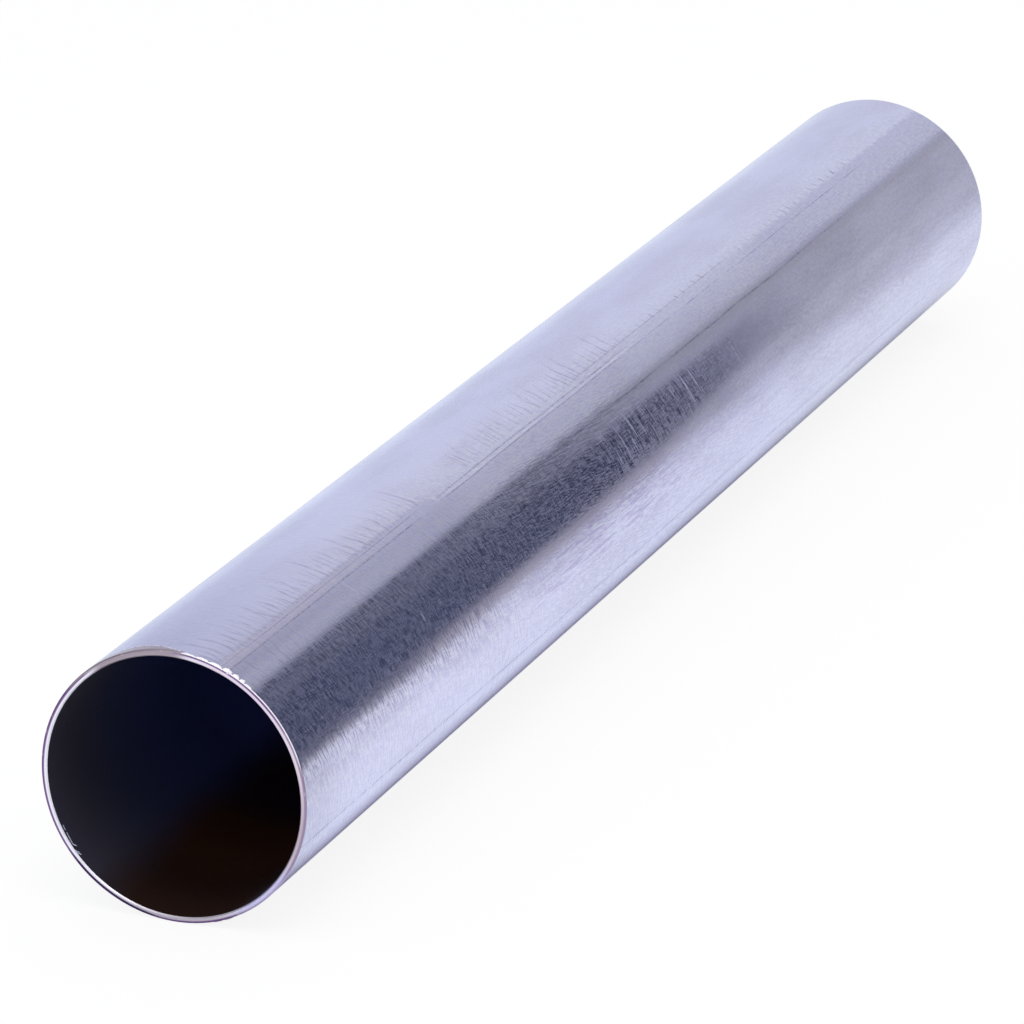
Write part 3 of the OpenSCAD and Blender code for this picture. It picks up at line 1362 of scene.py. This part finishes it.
@dataclass(frozen=True)
class Screen:
    """A curved screen round the pipe's axis, painted in soft tones, which shows only in its shine.

    Its angles go from +X towards +Z, like the pipe's own, and its lengths are in millimetres. A side
    of -1 turns the whole screen half round the vertical, to stand behind the pipe. The shift moves
    its paint along it, and the lead is how far the paint takes to come in at the screen's start.
    """

    name: str
    radius: float
    low: float
    high: float
    start_y: float
    stop_y: float
    side: float = 1.0
    shift: float = 0.0
    lead: float = 0.0
    bare: Colour = (0.87, 0.87, 0.87)
    dark: Colour = (0.058, 0.068, 0.118)
    upper_dark: Colour = (0.074, 0.084, 0.124)
    far_dark: Colour = (0.040, 0.048, 0.085)
    faded: Colour = (0.55, 0.54, 0.58)
    skirt: Colour = (0.40, 0.36, 0.37)
    far_skirt: Colour = (0.66, 0.65, 0.68)
    near_skirt: Colour = (0.53, 0.49, 0.50)
    steps: int = 32

    def build(self, axis_z: float) -> bpy.types.Object:
        """Spins the screen and paints it.

        Args:
            axis_z: The height of the pipe's axis.

        Returns:
            The screen's object.
        """
        bm = bmesh.new()
        verts = [bm.verts.new((self.radius * MM, y * MM, 0.0)) for y in (self.start_y, self.stop_y)]
        edge = bm.edges.new(verts)
        turn = Matrix.Rotation(-math.radians(self.low), 3, "Y")
        bmesh.ops.rotate(bm, verts=verts, cent=(0.0, 0.0, 0.0), matrix=turn)
        bmesh.ops.spin(
            bm,
            geom=[*verts, edge],
            axis=(0.0, -1.0, 0.0),
            cent=(0.0, 0.0, 0.0),
            angle=math.radians(self.high - self.low),
            steps=self.steps,
        )
        bmesh.ops.scale(bm, verts=bm.verts, vec=(self.side, self.side, 1.0))
        bmesh.ops.translate(bm, verts=bm.verts, vec=(0.0, 0.0, axis_z))
        made = finish_object(self.name, bm, [self.material(axis_z)])
        for kind in ("camera", "diffuse", "shadow", "transmission"):
            setattr(made, "visible_" + kind, False)
        return made

    def material(self, axis_z: float) -> bpy.types.Material:
        """Makes the screen glow in its own paint.

        Args:
            axis_z: The height of the pipe's axis.

        Returns:
            The material.
        """
        material, graph = new_material(self.name + " paint")
        across, ahead, up = graph.split(graph.place())
        along = graph.shift(self.shift, ahead, self.side / MM)
        turned = graph.math("ARCTAN2", graph.minus(up, axis_z), graph.product(across, self.side))
        colour = self.paint(graph, along, graph.product(turned, 180.0 / math.pi))
        if self.lead:
            start = self.start_y + self.shift
            colour = graph.blend(graph.ramp(along, start, start + self.lead), self.bare, colour)
        graph.show(graph.glow(colour))
        return material

    def paint(self, graph: Graph, along: Socket, turned: Socket) -> Socket:
        """Paints the screen: a dark core that fades towards the far end, under a pale top.

        Args:
            graph: The screen's graph.
            along: Millimetres along Y.
            turned: Degrees round the axis.

        Returns:
            The colour.
        """
        upper = graph.ramp(turned, 37.0, 45.0)
        core = graph.product(graph.ramp(along, 288.0, 355.0), graph.minus(1.0, upper))
        strip = graph.largest(graph.ramp(along, 175.0, 272.0, 0.07, 0.78), graph.ramp(along, 300.0, 420.0))
        slope = graph.ramp(along, 226.0, 353.0, 0.0, 14.0)
        foot = graph.plus(graph.ramp(along, 100.0, 118.0, -6.5, 0.0), slope)
        skirt = graph.layered(
            self.skirt,
            (graph.ramp(along, 130.0, 430.0), self.far_skirt),
            (graph.ramp(along, 205.0, 120.0), self.near_skirt),
        )
        sky = graph.ramp(turned, 62.0, 110.0, 0.62, 0.88)
        sky = graph.largest(sky, graph.ramp(along, 200.0, 400.0, 0.0, 0.87))
        return graph.layered(
            self.dark,
            (upper, self.upper_dark),
            (graph.ramp(along, 150.0, 250.0), self.far_dark),
            (graph.plus(core, graph.product(strip, upper)), self.faded),
            (graph.ramp(graph.minus(turned, foot), -3.0, 4.5, 1.0, 0.0), skirt),
            (graph.ramp(turned, 58.7, 62.2), graph.vector(sky, sky, sky)),
        )


@dataclass
class Studio:
    """A plain pale floor, soft light, the screens that shape the pipe's shine, and the camera.

    The camera's azimuth and elevation say where it stands, in degrees, as seen from the pipe.
    """

    axis_z: float
    floor_size: float = 60.0
    floor_colour: Colour = (0.90, 0.90, 0.91)
    painted_floor_shade: Colour = (0.62, 0.61, 0.65)
    floor_lift: float = 0.88
    camera_place: Vector = field(default_factory=lambda: Vector((0.4212, -1.0922, 0.4211)))
    camera_azimuth: float = 21.67
    camera_elevation: float = 19.19
    lens: float = 218.8
    sight: float = 100.0
    screens: tuple[Screen, ...] = (
        Screen("side_screen", 160.0, -9.0, 110.0, -200.0, 1400.0),
        Screen("rear_screen", 160.0, -9.0, 60.0, -30.0, 350.0, side=-1.0, shift=90.0, lead=60.0),
    )

    def build(self) -> None:
        """Builds the whole set."""
        self._lay_floor()
        self._light_world()
        self._hang_lamp("soft_top", place=Vector((0.5, -0.6, 2.2)), size=1.8, power=26.0)
        for screen in self.screens:
            screen.build(self.axis_z)
            LOG.info("%s stands %.0f mm from the axis", screen.name, screen.radius)
        self._set_camera()
        bpy.context.scene.view_settings.view_transform = "Standard"

    def _lay_floor(self) -> None:
        """Lays the floor under the pipe, lifted to white where the camera looks straight at it, and glowing
        in the pipe's shine.
        """
        bm = bmesh.new()
        bmesh.ops.create_grid(bm, x_segments=1, y_segments=1, size=self.floor_size / 2)
        material, graph = new_material("pale floor")
        matte = graph.node("BsdfDiffuse", {"Color": self.floor_colour})
        path = graph.node("LightPath").outputs
        across, ahead, _ = graph.split(graph.place())
        aside = graph.math("ABSOLUTE", across)
        # Painted reflection: to glossy rays the floor glows white, but not beside and under the pipe, so
        # that its shadow shows there.
        clear = graph.product(graph.ramp(aside, 0.013, 0.0255), graph.ramp(aside, 0.030, 0.080, 1.0, 0.62))
        clear = graph.largest(clear, graph.ramp(graph.math("ABSOLUTE", ahead), 0.20, 0.25, 0.0, 0.58))
        painted_reflection_glow = graph.product(path["Is Glossy Ray"], clear)
        share = graph.largest(graph.product(path["Is Camera Ray"], self.floor_lift), painted_reflection_glow)
        # Painted shade, seen only in the pipe's shine: the floor's glow is darker to the right and behind.
        back = graph.product(graph.ramp(across, 0.045, 0.105), graph.ramp(ahead, 0.0, 0.20))
        back = graph.product(back, path["Is Glossy Ray"])
        white = graph.glow(graph.blend(back, WHITE, self.painted_floor_shade))
        graph.show(graph.node("MixShader", {0: share, 1: matte.outputs[0], 2: white.outputs[0]}))
        finish_object("floor", bm, [material])

    def _light_world(self) -> None:
        """Surrounds the set with soft light, brighter on the left, and white to the camera."""
        world = bpy.data.worlds.new("soft studio")
        bpy.context.scene.world = world
        world.use_nodes = True
        graph = Graph(world.node_tree)
        heading = graph.split(graph.node("TexCoord").outputs["Generated"])[0]
        level = graph.ramp(heading, -0.18, 0.50, 0.88, 0.60)
        tone = graph.vector(level, level, graph.product(level, 1.02))
        camera = graph.node("LightPath").outputs["Is Camera Ray"]
        graph.show(graph.node("Background", {"Color": graph.blend(camera, tone, WHITE)}), "OutputWorld")

    def _hang_lamp(self, name: str, place: Vector, size: float, power: float) -> None:
        """Hangs a square soft lamp that looks at the pipe's middle.

        Args:
            name: The lamp's name.
            place: Where it hangs.
            size: Its side.
            power: Its power in watts.
        """
        data = bpy.data.lights.new(name, "AREA")
        data.shape = "SQUARE"
        data.size = size
        data.energy = power
        lamp = bpy.data.objects.new(name, data)
        lamp.location = place
        aim = Vector((0.0, 0.0, self.axis_z)) - place
        lamp.rotation_euler = aim.to_track_quat("-Z", "Y").to_euler()
        bpy.context.scene.collection.objects.link(lamp)

    def _set_camera(self) -> None:
        """Puts the camera above and to the right of the near mouth, with a long lens."""
        azimuth, elevation = math.radians(self.camera_azimuth), math.radians(self.camera_elevation)
        level = math.cos(elevation)
        back = Vector((math.sin(azimuth) * level, -math.cos(azimuth) * level, math.sin(elevation)))
        data = bpy.data.cameras.new("camera")
        data.lens = self.lens
        data.clip_end = self.sight
        camera = bpy.data.objects.new("camera", data)
        camera.location = self.camera_place
        camera.rotation_euler = (-back).to_track_quat("-Z", "Y").to_euler()
        bpy.context.scene.collection.objects.link(camera)
        bpy.context.scene.camera = camera


def main() -> None:
    """Builds the pipe, its burrs and the studio round the frame."""
    logging.basicConfig(level=logging.INFO, format="%(name)s: %(message)s")
    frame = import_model()

    pipe = ConduitPipe.from_frame(frame["record"])
    groups = MarkGroups.build(math.tau * pipe.outer_r / MM / 360.0, pipe.axis_z)
    finishes = {
        Skin.ZINC: ZincFinish(seam_angle=pipe.seam_angle),
        Skin.CUT: CutSteelFinish(),
        Skin.ARRIS: ArrisFinish(),
        Skin.ENAMEL: EnamelFinish(),
    }
    tube = pipe.build({skin: finish.material(groups) for skin, finish in finishes.items()})
    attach(tube, ROOT)
    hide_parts(NODE)

    burrs = MouthBurrs(pipe).build(BurrFinish().material(groups))
    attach(burrs, ROOT)

    Studio(axis_z=pipe.axis_z).build()


if __name__ == "__main__":
    main()
